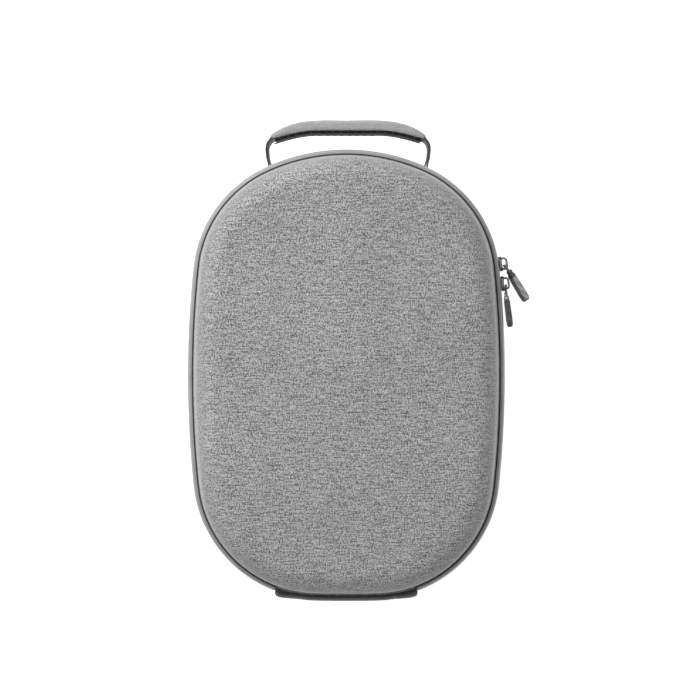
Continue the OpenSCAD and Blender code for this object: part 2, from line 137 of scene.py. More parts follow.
def pick(piece, test):
    """Goes to edit mode with only the vertices that pass the test selected."""
    make_active(piece)
    bpy.ops.object.mode_set(mode="EDIT")
    bpy.ops.mesh.select_mode(type="VERT")
    bpy.ops.mesh.select_all(action="DESELECT")
    bpy.ops.object.mode_set(mode="OBJECT")
    count = 0
    for v in piece.data.vertices:
        v.select = bool(test(v.co))
        count += v.select
    bpy.ops.object.mode_set(mode="EDIT")
    return count


def apply_modifier(piece, kind, **settings):
    """Adds a modifier with its settings, and applies it at once."""
    make_active(piece)
    modifier = piece.modifiers.new(kind.lower(), kind)
    for key, value in settings.items():
        setattr(modifier, key, value)
    bpy.ops.object.modifier_apply(modifier=modifier.name)
    return piece


def face_outwards(piece, inside=False):
    """Makes the faces of a closed or nearly closed form point one way."""
    make_active(piece)
    bpy.ops.object.mode_set(mode="EDIT")
    bpy.ops.mesh.select_all(action="SELECT")
    bpy.ops.mesh.remove_doubles(threshold=1e-6)
    bpy.ops.mesh.normals_make_consistent(inside=inside)
    bpy.ops.object.mode_set(mode="OBJECT")
    return piece


def smooth(piece, angle=40):
    make_active(piece)
    bpy.ops.object.shade_smooth_by_angle(angle=radians(angle), keep_sharp_edges=True)
    return piece


def carry(name, section, low=0.0, high=180.0, step=3.6 * MM):
    """Carries a section, as (inset, height) pairs in mm, round the case from t = low to t = high on both sides."""
    points = [edge(low, inset * MM, height * MM) for inset, height in section]
    piece = draw_profile(name, points)
    closed = (points[0] - points[-1]).length < 1e-7
    spans = []
    for i in range(5):
        first, last = max(min(low, high), arc_starts[i]), min(max(low, high), arc_starts[i + 1])
        if last - first > 1e-6:
            spans.append((i, last - first))
    if high < low:
        spans.reverse()
    for i, turn in spans:
        count = max(2, ceil(radians(turn) * arc_radii[i] / step))
        bpy.ops.mesh.spin(steps=count, angle=radians(turn if high > low else -turn),
                          center=arc_centres[i], axis=(0, 0, 1))
    if closed and abs(high) not in (0.0, 180.0):
        bpy.ops.mesh.remove_doubles(threshold=1e-6)
        bpy.ops.mesh.edge_face_add()
    bpy.ops.object.mode_set(mode="OBJECT")
    apply_modifier(piece, "MIRROR", use_axis=(True, False, False), use_clip=True, merge_threshold=2e-5)
    face_outwards(piece)
    return piece


def mirrored_in_seam(section):
    """The same section on the base's side of the seam."""
    return [(inset, -height) for inset, height in section]


def count_faces(piece):
    return f"{piece.name}: {len(piece.data.polygons)} faces"


# %% [markdown]
# ## Materials: a few small helpers
# Each material starts from what the real one is. Colours are written as sRGB hex values, as read off a colour card,
# and one function turns them linear. Another adds a node with its settings and its links, so a recipe reads as a
# list of what it mixes. Most recipes end the same way, with two tones and a relief, so that step is a function too.

# %% Helpers for materials
def paint(code):
    """An sRGB hex value as a linear colour."""
    parts = [int(code[k:k + 2], 16) / 255 for k in (0, 2, 4)]
    return tuple(p / 12.92 if p <= 0.04045 else ((p + 0.055) / 1.055) ** 2.4 for p in parts) + (1.0,)


def start_material(name, **surface):
    """A new material with its Principled shader, whose sockets take the plain values in surface."""
    material = bpy.data.materials.new(name)
    material.use_nodes = True
    shader = material.node_tree.nodes["Principled BSDF"]
    for socket, value in surface.items():
        shader.inputs[socket.replace("_", " ")].default_value = value
    return material, shader


def add_node(material, kind, sockets=None, **settings):
    """Adds a node; a socket's value is a number, a colour or another node's output."""
    made = material.node_tree.nodes.new(kind)
    for key, value in settings.items():
        setattr(made, key, value)
    for socket, value in (sockets or {}).items():
        if isinstance(value, bpy.types.NodeSocket):
            material.node_tree.links.new(value, made.inputs[socket])
        else:
            made.inputs[socket].default_value = value
    return made


def link(material, output, shader_socket):
    material.node_tree.links.new(output, shader_socket)


def two_tones(material, shader, tone, low, high, relief, strength, depth, invert=False):
    """Colours a surface between two tones, each (position, hex), and gives it a relief that is depth mm deep."""
    ramp = add_node(material, "ShaderNodeValToRGB", {"Fac": tone})
    for stop, (position, code) in zip(ramp.color_ramp.elements, (low, high)):
        stop.position, stop.color = position, paint(code)
    link(material, ramp.outputs["Color"], shader.inputs["Base Color"])
    bump = add_node(material, "ShaderNodeBump", {"Height": relief, "Strength": strength, "Distance": depth * MM},
                    invert=invert)
    link(material, bump.outputs["Normal"], shader.inputs["Normal"])
    return material


# %% [markdown]
# ## Melange weave
# The cover is a linen-look polyester: each thread is spun from dark and light fibres, so the cloth shows short dark
# and light dashes across and down, and a few long thick places called slubs. An image could give this, but stretched
# noise does it at any size: noise that is squeezed to one thread across and drawn out along the thread is a dash.
# Threads are about 0.6 mm apart, dashes 2 to 6 mm and slubs up to 18 mm long. The colour runs from 6a6a6b to c8c8c9.
# The cloth's own UV map, in metres, is the flat cloth before it was pressed over the shell, so nothing smears on the
# steep sides. Where the press has stretched the cloth, on the flank, the dashes are paler; the flank is also darkened
# by a painted shade, a tint multiplied into its colour. The attribute "stretch_and_shade" says how much of both.

# %% The melange weave
def melange_cloth(name, dark, light, flank_painted_shade):
    material, shader = start_material(name, Roughness=0.82, IOR=1.46, Sheen_Weight=0.25, Sheen_Roughness=0.45)
    flat = add_node(material, "ShaderNodeUVMap", uv_map="cloth").outputs["UV"]
    total = None
    # (length along X, length along Y, detail, share) of each kind of dash, in mm
    dashes = [(4.2, 0.60, 2.0, 0.95), (0.62, 3.2, 2.0, 0.85), (0.85, 0.80, 1.0, 1.75), (13.0, 0.95, 1.0, 0.60)]
    for length_x, length_y, detail, share in dashes:
        place = add_node(material, "ShaderNodeMapping", {"Vector": flat, "Location": (share * 3.1, share * 1.7, 0),
                         "Scale": (1000 / length_x, 1000 / length_y, 1)}).outputs["Vector"]
        noise = add_node(material, "ShaderNodeTexNoise", {"Vector": place, "Scale": 1.0, "Detail": detail,
                         "Roughness": 0.55}, noise_dimensions="2D").outputs[0]
        part = add_node(material, "ShaderNodeMath", {0: noise, 1: -0.5}, operation="ADD").outputs[0]
        part = add_node(material, "ShaderNodeMath", {0: part, 1: share}, operation="MULTIPLY").outputs[0]
        total = part if total is None else add_node(material, "ShaderNodeMath", {0: total, 1: part},
                                                    operation="ADD").outputs[0]
    stretch_and_shade = add_node(material, "ShaderNodeAttribute", attribute_name="stretch_and_shade").outputs["Fac"]
    strength = add_node(material, "ShaderNodeMapRange", {"Value": stretch_and_shade, "To Min": 1.0, "To Max": 0.58}).outputs[0]
    dash = add_node(material, "ShaderNodeMath", {0: total, 1: strength}, operation="MULTIPLY").outputs[0]
    tone = add_node(material, "ShaderNodeMath", {0: dash, 1: 0.5}, operation="ADD").outputs[0]
    ramp = add_node(material, "ShaderNodeValToRGB", {"Fac": tone})
    ramp.color_ramp.elements[0].position, ramp.color_ramp.elements[0].color = 0.14, paint(dark)
    ramp.color_ramp.elements[1].position, ramp.color_ramp.elements[1].color = 0.86, paint(light)
    # broad, faint patches where the tone of the cloth differs at random
    cloud = add_node(material, "ShaderNodeTexNoise", {"Vector": flat, "Scale": 14.0, "Detail": 2.0},
                     noise_dimensions="2D").outputs[0]
    patch = add_node(material, "ShaderNodeMapRange", {"Value": cloud, "From Min": 0.3, "From Max": 0.7,
                     "To Min": 0.95, "To Max": 1.05}).outputs[0]
    patched_tone = add_node(material, "ShaderNodeMix", {0: 1.0, 6: ramp.outputs["Color"], 7: patch}, data_type="RGBA",
                     blend_type="MULTIPLY").outputs[2]
    # painted shade: the flank's colour is multiplied by a darker tint, as far as the stretch mask reaches
    painted_flank_shade = add_node(material, "ShaderNodeMix", {0: stretch_and_shade, 6: patched_tone, 7: paint(flank_painted_shade)}, data_type="RGBA",
                    blend_type="MULTIPLY")
    link(material, painted_flank_shade.outputs[2], shader.inputs["Base Color"])
    relief = add_node(material, "ShaderNodeBump", {"Height": tone, "Strength": 0.35, "Distance": 0.25 * MM})
    link(material, relief.outputs["Normal"], shader.inputs["Normal"])
    return material


# e9e5e6 is the tint of the painted shade on the flank
melange = melange_cloth("melange_polyester_weave", "666667", "d8d8da", "e9e5e6")
print("melange weave:", len(melange.node_tree.nodes), "nodes")

# %% [markdown]
# ## The two covers
# A cover is cloth pressed over a moulded foam shell. Its wall leans in 5.5 degrees, turns over a radius of 17 mm,
# with a faint ridge where the flank meets the face, and the face is crowned by 2 mm. At the rim the cloth is rolled
# under, which leaves a bead above a dark groove. The wall and the turn are carried round the outline. The face is
# closed by extruding its edge inwards in rings, each smaller and higher than the last, and merging the last one.

# %% Shape of a shell
RIM_INSET, RIM_H, LEAN, TURN_R = 4.4, 9.0, 5.5, 17.0
FACE_H, CROWN = 53.0, 2.0
turn_inset = RIM_INSET + TURN_R * cos(radians(LEAN)) \
    + tan(radians(LEAN)) * (FACE_H - TURN_R + TURN_R * sin(radians(LEAN)) - RIM_H)


def wall_at(height, depth=0.0):
    """How far in the wall stands at a height above the seam, in mm, at a depth below the cover's outside."""
    return RIM_INSET + tan(radians(LEAN)) * (height - RIM_H) + depth / cos(radians(LEAN))


def turned_over(depth=0.0, ridge=0.0, steps=12):
    """The turn from the wall to the face, in mm; ridge lifts a soft line about a third of the way round."""
    points = []
    for k in range(steps + 1):
        f = (90 - LEAN) * (1 - k / steps)
        r = TURN_R - depth + ridge * max(0.0, 1 - ((f - 24) / 13) ** 2)
        points.append((turn_inset - r * sin(radians(f)), FACE_H - TURN_R + r * cos(radians(f))))
    return points


def close_face(piece, height, rise, direction, flat=None, scales=(0.95, 0.86, 0.75, 0.63, 0.5, 0.36, 0.2, 0.08)):
    """Closes a shell's open face with rings that climb to the crown."""
    z = seam_z + direction * height * MM
    pick(piece, lambda co: abs(co.z - z) < 1e-6)
    was, level = 1.0, height
    for s in scales + (0.0,):
        target = height + rise * (1 - s * s)
        if flat is not None:
            target = min(target, flat)
        bpy.ops.mesh.extrude_edges_move(TRANSFORM_OT_translate={"value": (0, 0, direction * (target - level) * MM)})
        if s > 0:
            bpy.ops.transform.resize(value=(s / was, s / was, 1), center_override=(0, 0, 0))
            was = s
        level = target
    bpy.ops.mesh.merge(type="CENTER")
    bpy.ops.object.mode_set(mode="OBJECT")
    return piece


def facing(co):
    """The direction t that a point near the outline faces, and how far in it is, in mm."""
    best = None
    for i in range(5):
        dx, dy = abs(co.x) - arc_centres[i].x, co.y - arc_centres[i].y
        t = degrees(atan2(dx, dy))
        off = max(arc_starts[i] - t, t - arc_starts[i + 1], 0)
        if best is None or off < best[0] - 1e-9:
            best = (off, t, (arc_radii[i] - hypot(dx, dy)) / MM)
    return best[1] * (1 if co.x >= 0 else -1), best[2]


def lay_cloth(piece):
    """Gives a shell the UV map of its cloth laid flat, in metres, and an attribute of how stretched it is;
    the same attribute sets how much painted shade the flank gets.
    """
    mesh = piece.data
    cloth = mesh.uv_layers.new(name="cloth")
    # this attribute is both the cloth's stretch and the mask of the flank's painted shade
    stretch_and_shade = mesh.attributes.new("stretch_and_shade", "FLOAT", "POINT")
    flat_places = []
    for v in mesh.vertices:
        h = abs(v.co.z - seam_z) / MM
        if h > FACE_H - 0.02:
            flat_places.append((v.co.x, v.co.y))
            continue
        t, inset = facing(v.co)
        f = min(degrees(atan2(turn_inset - inset, h - (FACE_H - TURN_R))), 90 - LEAN) \
            if h > FACE_H - TURN_R else 90 - LEAN
        down = radians(f) * TURN_R
        if f > 89.9 - LEAN:
            down += max(0.0, (FACE_H - TURN_R + TURN_R * sin(radians(LEAN))) - h)
        flat_places.append((edge(t, (turn_inset - down) * MM).xy))
        stretch_and_shade.data[v.index].value = min(1.0, max(0.0, (f - 26) / 40))
    for corner in mesh.loops:
        cloth.data[corner.index].uv = flat_places[corner.vertex_index]
    return piece


def make_cover(name, direction, rise, flat, node, body):
    rolled_edge = [(6.2, 10.6), (6.0, 9.5), (5.5, 8.95), (4.85, 8.8), (4.25, 8.95), (3.95, 9.45), (4.05, 10.0),
                   (4.42, 10.45), (wall_at(11.2), 11.2), (wall_at(13), 13), (wall_at(20), 20), (wall_at(28), 28)]
    section = rolled_edge + turned_over(ridge=0.35)
    if direction < 0:
        section = mirrored_in_seam(section)
    cover = carry(name, section)
    close_face(cover, FACE_H, rise, direction, flat)
    face_outwards(cover)
    top = max(cover.data.polygons, key=lambda p: direction * p.center.z)
    if top.normal.z * direction < 0:
        face_outwards(cover, inside=True)
    apply_modifier(cover, "SUBSURF", levels=1, render_levels=1)
    lay_cloth(cover)
    smooth(cover, 60)
    cover.data.materials.append(melange)
    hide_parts(node)
    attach(cover, body)
    print(count_faces(cover))
    return cover


# %% The covers of lid and base
make_cover("lid_melange_cover", 1, CROWN, None, "lid_cover", "lid")
make_cover("base_melange_cover", -1, CROWN + 0.3, 55.0, "base_cover", "base")

# %% [markdown]
# ## Zip tapes
# The band round the case is the zip's tape, sewn to the rims and rolled out over the coil. It is coated, smooth and
# satin, so it looks nearly white where it faces the light and dark grey where it turns away. Fine cross ribs show
# only close up: the real ones are 0.4 mm apart, drawn here at 0.8 mm.

# %% Satin tape and its material
def satin_tape():
    material, shader = start_material("satin_coated_tape", Roughness=0.36, IOR=1.5, Sheen_Weight=0.1,
                                      Sheen_Roughness=0.3)
    place = add_node(material, "ShaderNodeTexCoord").outputs["Object"]
    blotch = add_node(material, "ShaderNodeTexNoise", {"Vector": place, "Scale": 60.0, "Detail": 3.0}).outputs[0]
    ribs = add_node(material, "ShaderNodeTexNoise", {"Vector": place, "Scale": 1250.0, "Detail": 1.0}).outputs[0]
    return two_tones(material, shader, blotch, (0.3, "a09d9d"), (0.7, "aeabab"), ribs, 0.12, 0.1)


satin = satin_tape()
ZIP_END = 160.0
tape_section = [(1.5, 0.65), (0.85, 1.5), (0.8, 2.6), (0.9, 3.8), (1.35, 5.2), (2.25, 6.5), (3.5, 7.45), (5.0, 7.8),
                (5.6, 8.1), (5.0, 8.5), (3.4, 8.3), (2.2, 7.75), (1.2, 6.8), (0.45, 5.5), (0.05, 3.9), (0.0, 2.4),
                (0.2, 1.3), (0.8, 0.65), (1.5, 0.65)]
for side, body, section in (("lid", "lid", tape_section), ("base", "base", mirrored_in_seam(tape_section))):
    tape = carry(f"{side}_satin_tape", section, 0, ZIP_END)
    apply_modifier(tape, "SUBSURF", levels=1, render_levels=1)
    smooth(tape, 70)
    tape.data.materials.append(satin)
    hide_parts(f"{side}_zip_tape")
    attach(tape, body)
    print(count_faces(tape))

# %% [markdown]
# ## The dark groove
# Between the rolled edge of each cover and the satin tape runs a seam, and in the groove there a dark line less than
# a millimetre wide shows. A shadow alone would be too pale under soft light, so a dark ribbon lies in the groove:
# partly the seam's own tape, partly painted shadow.

# %% Seam ribbons, which also paint the groove's shadow
def woven_tape(name, dark, light, rough=0.78, thread=0.7, sheen=0.15):
    """Narrow woven tape; thread is the spacing of its ribs in mm, drawn about twice as coarse as they are."""
    material, shader = start_material(name, Roughness=rough, IOR=1.46, Sheen_Weight=sheen, Sheen_Roughness=0.5)
    place = add_node(material, "ShaderNodeTexCoord").outputs["Object"]
    weave = add_node(material, "ShaderNodeTexVoronoi", {"Vector": place, "Scale": 1000 / thread}).outputs["Distance"]
    worn = add_node(material, "ShaderNodeTexNoise", {"Vector": place, "Scale": 150.0, "Detail": 4.0}).outputs[0]
    mixed = add_node(material, "ShaderNodeMath", {0: weave, 1: worn}, operation="MULTIPLY").outputs[0]
    return two_tones(material, shader, mixed, (0.08, light), (0.42, dark), weave, 0.5, 0.2, invert=True)


def dress(piece, material, slot, body, *nodes):
    """Gives a finished piece its material, the nodes that it stands for and the body that it rides on; slot is not
    used.
    """
    piece.data.materials.clear()
    piece.data.materials.append(material)
    if nodes:
        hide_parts(*nodes)
    if body:
        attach(piece, body)
    print(count_faces(piece))
    return piece


# the ribbon stands for the seam and is made dark to paint the shadow in the groove
groove_shadow_ribbon = woven_tape("dark_seam_ribbon", "303031", "474748")
ribbon_section = [(3.05, 8.3), (3.6, 8.5), (4.3, 8.62), (5.1, 8.68), (5.1, 8.8), (4.2, 8.76), (3.5, 8.68),
                  (2.95, 8.46), (3.05, 8.3)]
for side, section in (("lid", ribbon_section), ("base", mirrored_in_seam(ribbon_section))):
    dress(smooth(carry(f"{side}_seam_ribbon", section)), groove_shadow_ribbon, "dark_tape", side)

# %% [markdown]
# ## Copies along a path
# Zip coils and stitches are one small shape repeated hundreds of times. The shape is modelled once with a few dozen
# faces, and each copy gets its own mesh and its own place along a path. An Array with a Curve modifier would do too,
# but it bends the shape and stretches it on tight turns.

# %% Helpers for repeated shapes
def along(points, pitch, start=0.0):
    """Places every pitch metres along a path, each with the direction there."""
    places, left = [], start
    for here, there in zip(points, points[1:]):
        length = (there - here).length
        while left <= length:
            places.append((here.lerp(there, left / length), (there - here).normalized()))
            left += pitch
        left -= length
    return places


def frame_at(place, direction, up):
    """A matrix that puts X along direction and Z as near to up as it can be."""
    side = up.cross(direction).normalized()
    up = direction.cross(side).normalized()
    return Matrix.Translation(place) @ Matrix((direction, side, up)).transposed().to_4x4()


def copies(piece, matrices, name):
    """One object made of copies of piece, one at each matrix."""
    made = []
    for matrix in matrices:
        twin = piece.copy()
        twin.data = piece.data.copy()
        twin.matrix_world = matrix
        bpy.context.scene.collection.objects.link(twin)
        made.append(twin)
    bpy.data.objects.remove(piece)
    all_off()
    for twin in made:
        twin.select_set(True)
    bpy.context.view_layer.objects.active = made[0]
    bpy.ops.object.transform_apply()
    bpy.ops.object.join()
    made[0].name = made[0].data.name = name
    return made[0]


def one_stitch(length=2.4, thickness=0.34):
    """A stitch: a short thread that dives into the cloth at both ends."""
    all_off()
    bpy.ops.mesh.primitive_uv_sphere_add(segments=6, ring_count=5, radius=0.5)
    stitch = bpy.context.object
    bpy.ops.object.mode_set(mode="EDIT")
    bpy.ops.transform.rotate(value=pi / 2, orient_axis="Y", center_override=(0, 0, 0))
    bpy.ops.transform.resize(value=(length * MM, thickness * 1.5 * MM, thickness * MM), center_override=(0, 0, 0))
    bpy.ops.object.mode_set(mode="OBJECT")
    bpy.ops.object.shade_smooth()
    return stitch


def stitch_rows(name, rows, pitch=3.4, length=2.4, thickness=0.34):
    """Rows of stitches, each row given as (points, up); up is where the cloth faces."""
    matrices = []
    for points, up in rows:
        for place, direction in along(points, pitch * MM, pitch * MM / 2):
            matrices.append(frame_at(place, direction, up))
    return copies(one_stitch(length, thickness), matrices, name)


def left_side(points):
    return [Vector((-p.x, p.y, p.z)) for p in points]


def outline_path(inset, height, low, high, step=2.0):
    """Points of the outline from t = low to t = high, in mm from its outside and from the seam."""
    count = max(2, ceil(abs(high - low) / step))
    return [edge(low + (high - low) * k / count, inset * MM, height * MM) for k in range(count + 1)]


# %% [markdown]
# ## The zip's coils
# A coil zip has two nylon spirals, each sewn to the edge of its tape on the inner side. Each turn is an oval loop,
# 2.2 mm high, and the turns are 1.3 mm apart. One turn is a circle swept by Spin round an axis and flattened, which
# leaves 48 faces.

# %% Coils
def one_coil_turn():
    all_off()
    bpy.ops.mesh.primitive_circle_add(vertices=5, radius=0.3 * MM, rotation=(pi / 2, 0, 0),
                                      location=(0.75 * MM, 0, 0))
    turn = bpy.context.object
    bpy.ops.object.transform_apply()
    bpy.ops.object.mode_set(mode="EDIT")
    bpy.ops.mesh.select_all(action="SELECT")
    bpy.ops.mesh.spin(steps=10, angle=2 * pi, center=(0, 0, 0), axis=(0, 0, 1), use_auto_merge=True)
    bpy.ops.mesh.select_all(action="SELECT")
    bpy.ops.mesh.remove_doubles(threshold=1e-6)
    bpy.ops.transform.resize(value=(0.72, 1.1, 0.9), center_override=(0, 0, 0))
    bpy.ops.mesh.normals_make_consistent(inside=False)
    # the loop is stood up across the tape, with a slight slant like that of a spiral
    bpy.ops.transform.rotate(value=radians(98), orient_axis="Y", center_override=(0, 0, 0))
    bpy.ops.transform.rotate(value=radians(90), orient_axis="X", center_override=(0, 0, 0))
    bpy.ops.object.mode_set(mode="OBJECT")
    bpy.ops.object.shade_smooth()
    return turn


def nylon():
    material, shader = start_material("moulded_nylon", Roughness=0.42, IOR=1.53)
    place = add_node(material, "ShaderNodeTexCoord").outputs["Object"]
    tone = add_node(material, "ShaderNodeTexNoise", {"Vector": place, "Scale": 700.0, "Detail": 2.0}).outputs[0]
    return two_tones(material, shader, tone, (0.3, "3a3a3b"), (0.7, "5a5a5b"), tone, 0.1, 0.1)


coil_nylon = nylon()
COIL_END = 157.2
for side, sign in (("lid", 1), ("base", -1)):
    path = outline_path(2.6, sign * 1.9, -COIL_END, COIL_END, 1.5)
    shift = 0.65 * MM * (sign < 0)
    places = [frame_at(p, d, Vector((0, 0, 1))) for p, d in along(path, 1.3 * MM, shift)]
    coil = copies(one_coil_turn(), places, f"{side}_nylon_coil")
    dress(coil, coil_nylon, "zip_coil", side, f"{side}_zip_coil")

# %% [markdown]
# ## The hinge strip
# At the bottom the zip gives way to a strip of dark woven fabric that joins lid and base. It is one piece of cloth,
# with its long edges folded under and sewn. The real one bends at the seam when the case opens; this one is made
# closed and rides on neither half.

# %% Hinge strip
STRIP_END = 159.5


def strip_fabric():
    """Dark tape coloured by height from the seam: painted shade along the seam line and in the folded edges, and a
    paler painted highlight in the band between them.
    """
    material, shader = start_material("hinge_tape_with_painted_shade", Roughness=0.7, IOR=1.46, Sheen_Weight=0.2,
                                      Sheen_Roughness=0.5)
    place = add_node(material, "ShaderNodeTexCoord").outputs["Object"]
    height = add_node(material, "ShaderNodeSeparateXYZ", {"Vector": place}).outputs["Z"]
    away = add_node(material, "ShaderNodeMath", {0: height, 1: -seam_z}, operation="ADD").outputs[0]
    away = add_node(material, "ShaderNodeMath", {0: away}, operation="ABSOLUTE").outputs[0]
    band = add_node(material, "ShaderNodeMapRange", {"Value": away, "From Min": 0.0, "From Max": 9.8 * MM}).outputs[0]
    # painted shade at the seam line and in the folded edges, painted highlight in the band between
    ramp = add_node(material, "ShaderNodeValToRGB", {"Fac": band})
    for position, code in ((0.0, "2b2b2b"), (0.42, "3b3b3a"), (0.62, "595857"), (0.78, "5f5e5d"), (0.86, "4c4b4a"),
                           (0.95, "2b2b2b")):
        stop = ramp.color_ramp.elements.new(position)
        stop.color = paint(code)
    ramp.color_ramp.elements.remove(ramp.color_ramp.elements[0])
    squeezed = add_node(material, "ShaderNodeMapping", {"Vector": place, "Scale": (320, 320, 1500)}).outputs[0]
    weave = add_node(material, "ShaderNodeTexNoise", {"Vector": squeezed, "Scale": 1.0, "Detail": 3.0}).outputs[0]
    tone = add_node(material, "ShaderNodeMapRange", {"Value": weave, "From Min": 0.3, "From Max": 0.7,
                    "To Min": 0.72, "To Max": 1.28}).outputs[0]
    mixed = add_node(material, "ShaderNodeMix", {0: 1.0, 6: ramp.outputs["Color"], 7: tone}, data_type="RGBA",
                     blend_type="MULTIPLY")
    link(material, mixed.outputs[2], shader.inputs["Base Color"])
    relief = add_node(material, "ShaderNodeBump", {"Height": weave, "Strength": 0.5, "Distance": 0.25 * MM})
    link(material, relief.outputs["Normal"], shader.inputs["Normal"])
    return material


def make_hinge_strip():
    half = [(4.2, 9.15), (3.85, 9.5), (2.7, 9.42), (0.9, 8.3), (-0.4, 6.5), (-1.08, 4.2), (-1.2, 2.2), (-1.2, 0.8)]
    outer = half + [(inset, -height) for inset, height in reversed(half)]
    inner_half = [(3.9, 8.75), (3.0, 8.45), (1.6, 7.5), (0.5, 5.9), (-0.1, 3.9), (-0.1, 2.2), (-0.1, 0.8)]
    inner = [(inset, -height) for inset, height in inner_half] + list(reversed(inner_half))
    strip = carry("hinge_strip_fabric", outer + inner + [outer[0]], 180, STRIP_END, 1.2 * MM)
    # the strip is fuller where it covers the ends of the zip, and its ends are cut with round corners
    mm_per_degree = 1.38
    for v in strip.data.vertices:
        t, inset = facing(v.co)
        from_end = (abs(t) - STRIP_END) * mm_per_degree
        full = 1.7 * min(1.0, max(0.0, (15 - from_end) / 11))
        corner = min(1.0, max(0.0, 1 - from_end / 3.2))
        full -= 2.4 * (1 - (1 - corner * corner) ** 0.5)
        v.co += outward(t) * full * MM * min(1.0, max(0.0, (3.6 - inset) / 3.6))
    apply_modifier(strip, "BEVEL", width=0.55 * MM, segments=2, limit_method="ANGLE", angle_limit=radians(50))
    apply_modifier(strip, "SUBSURF", levels=1, render_levels=1)
    smooth(strip, 60)
    dress(strip, strip_fabric(), "dark_tape", None, "base_hinge_strip", "lid_hinge_strip")
    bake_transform(strip)
    arc = 2 * sum((edge(t + 0.5) - edge(t)).length for t in [STRIP_END + 0.5 * k for k in range(41)])
    print("hinge strip:", round(arc / MM), "mm long when flat, 25 mm wide")
    return strip


make_hinge_strip()
thread = woven_tape("polyester_thread", "2a2a2b", "3c3c3d", rough=0.55, thread=0.5)
for side, sign in (("lid", 1), ("base", -1)):
    row = outline_path(2.2, sign * 9.32, STRIP_END + 1.5, 180, 1.0)
    rows = [(row, Vector((0, -0.45, sign))), (left_side(row), Vector((0, -0.45, sign)))]
    dress(stitch_rows(f"{side}_strip_stitches", rows), thread, "dark_tape", side)

# %% [markdown]
# ## Metal parts of the zip
# The sliders and links are die-cast zinc and bent wire, painted gunmetal. Their CAD shapes are right but sharp. Real
# castings have soft edges, so each is copied and its triangles are merged into clean faces; the sliders and stops
# also have their edges bevelled.

# %% Sliders, links and stops
def worn_metal(name, dark, light):
    """Painted or plated zinc, slightly glossy, worn to lighter metal in small spots."""
    material, shader = start_material(name, Metallic=0.85, Coat_Weight=0.15, Coat_Roughness=0.3)
    place = add_node(material, "ShaderNodeTexCoord").outputs["Object"]
    spots = add_node(material, "ShaderNodeTexNoise", {"Vector": place, "Scale": 900.0, "Detail": 4.0}).outputs[0]
    dull = add_node(material, "ShaderNodeMapRange", {"Value": spots, "To Min": 0.3, "To Max": 0.5}).outputs[0]
    link(material, dull, shader.inputs["Roughness"])
    return two_tones(material, shader, spots, (0.45, dark), (0.75, light), spots, 0.08, 0.1)


def softened(node, name, width):
    """A copy of a CAD node with its triangles merged and its edges bevelled by width mm."""
    piece = frame["nodes"][node].copy()
    piece.data = frame["nodes"][node].data.copy()
    piece.parent = None
    for key in [k for k in piece.keys() if k.startswith("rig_")]:
        del piece[key]
    bpy.context.scene.collection.objects.link(piece)
    piece.name = piece.data.name = name
    make_active(piece)
    piece.data.materials.clear()
    bpy.ops.object.mode_set(mode="EDIT")
    bpy.ops.mesh.select_all(action="SELECT")
    bpy.ops.mesh.remove_doubles(threshold=1e-6)
    bpy.ops.mesh.dissolve_limited(angle_limit=radians(1))
    bpy.ops.mesh.normals_make_consistent(inside=False)
    bpy.ops.object.mode_set(mode="OBJECT")
    if width:
        apply_modifier(piece, "BEVEL", width=width * MM, segments=3, limit_method="ANGLE", angle_limit=radians(50),
                       use_clamp_overlap=True)
    return smooth(piece, 35)


zinc = worn_metal("gunmetal_painted_zinc", "5b5b5e", "8a8a8d")
for node, width in (("upper_slider", 0.28), ("lower_slider", 0.28), ("upper_link", 0), ("lower_link", 0)):
    dress(softened(node, f"{node}_cast", width), zinc, "slider_metal", node, node)
for node in ("base_zip_stops", "lid_zip_stops"):
    dress(softened(node, f"{node}_pressed", 0.4), zinc, "stop_metal", node[:4].rstrip("_"), node)

# %% [markdown]
# ## The webbing that carries the handle
# Two layers of narrow webbing run through the grip, turn down at its ends and are sewn to the top wall of the base.
# Webbing is flat and only bends across its width, so its edge is drawn as a line of points and extruded across.
# Solidify gives each layer its thickness, and a small bevel rounds its selvedges.

# %% Curves of the handle, in mm from the middle of the case
grip_low, grip_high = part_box("handle_cover")
handle_z = (grip_low.z + grip_high.z) / 2
HANDLE_TOP, HANDLE_LIFT = grip_high.y / MM, 1.6
WEBBING_RISE, BEND_R, FALL_R, FALL_TURN = 3.4, 7.6, 32, 27
# the real handle is a little longer, and sits a little to the right of the middle
handle_fit = Matrix.Translation((1.1 * MM, 0, 0)) @ Matrix.Diagonal((1.015, 1, 1, 1))


def top_at(x):
    """The grip's upper edge, straight in the middle and 10 mm lower at its ends."""
    return HANDLE_TOP + HANDLE_LIFT - 10 * (max(0, abs(x) - 10) / 39.4) ** 3


def low_at(x):
    """The grip's lower edge, straight in the middle and 6.5 mm lower at its ends."""
    return 148.8 + HANDLE_LIFT - 6.5 * (max(0, abs(x) - 20) / 28.7) ** 1.7


def lean_at(x):
    return atan2(6.5 * 1.7 / 28.7 * (max(0, abs(x) - 20) / 28.7) ** 0.7, 1)


def webbing_line(off):
    """Half of the webbing's line, as (x, y) in mm, off outwards from its middle."""
    points = []
    for x in (0, 5, 10, 15, 20, 25, 30, 35, 40, 45):
        a = lean_at(x)
        y = low_at(x) + WEBBING_RISE
        points.append((x + off * sin(a), y + off * cos(a)))
    start = lean_at(45)
    cx, cy = 45 - BEND_R * sin(start), low_at(45) + WEBBING_RISE - BEND_R * cos(start)
    for k in range(1, 9):
        a = start + (pi / 2 - start) * k / 8
        points.append((cx + (BEND_R + off) * sin(a), cy + (BEND_R + off) * cos(a)))
    for k in range(1, 9):
        a = radians(FALL_TURN) * k / 8
        points.append((cx + BEND_R + FALL_R * (cos(a) - 1) + off * cos(a), cy - (FALL_R + off) * sin(a)))
    return points


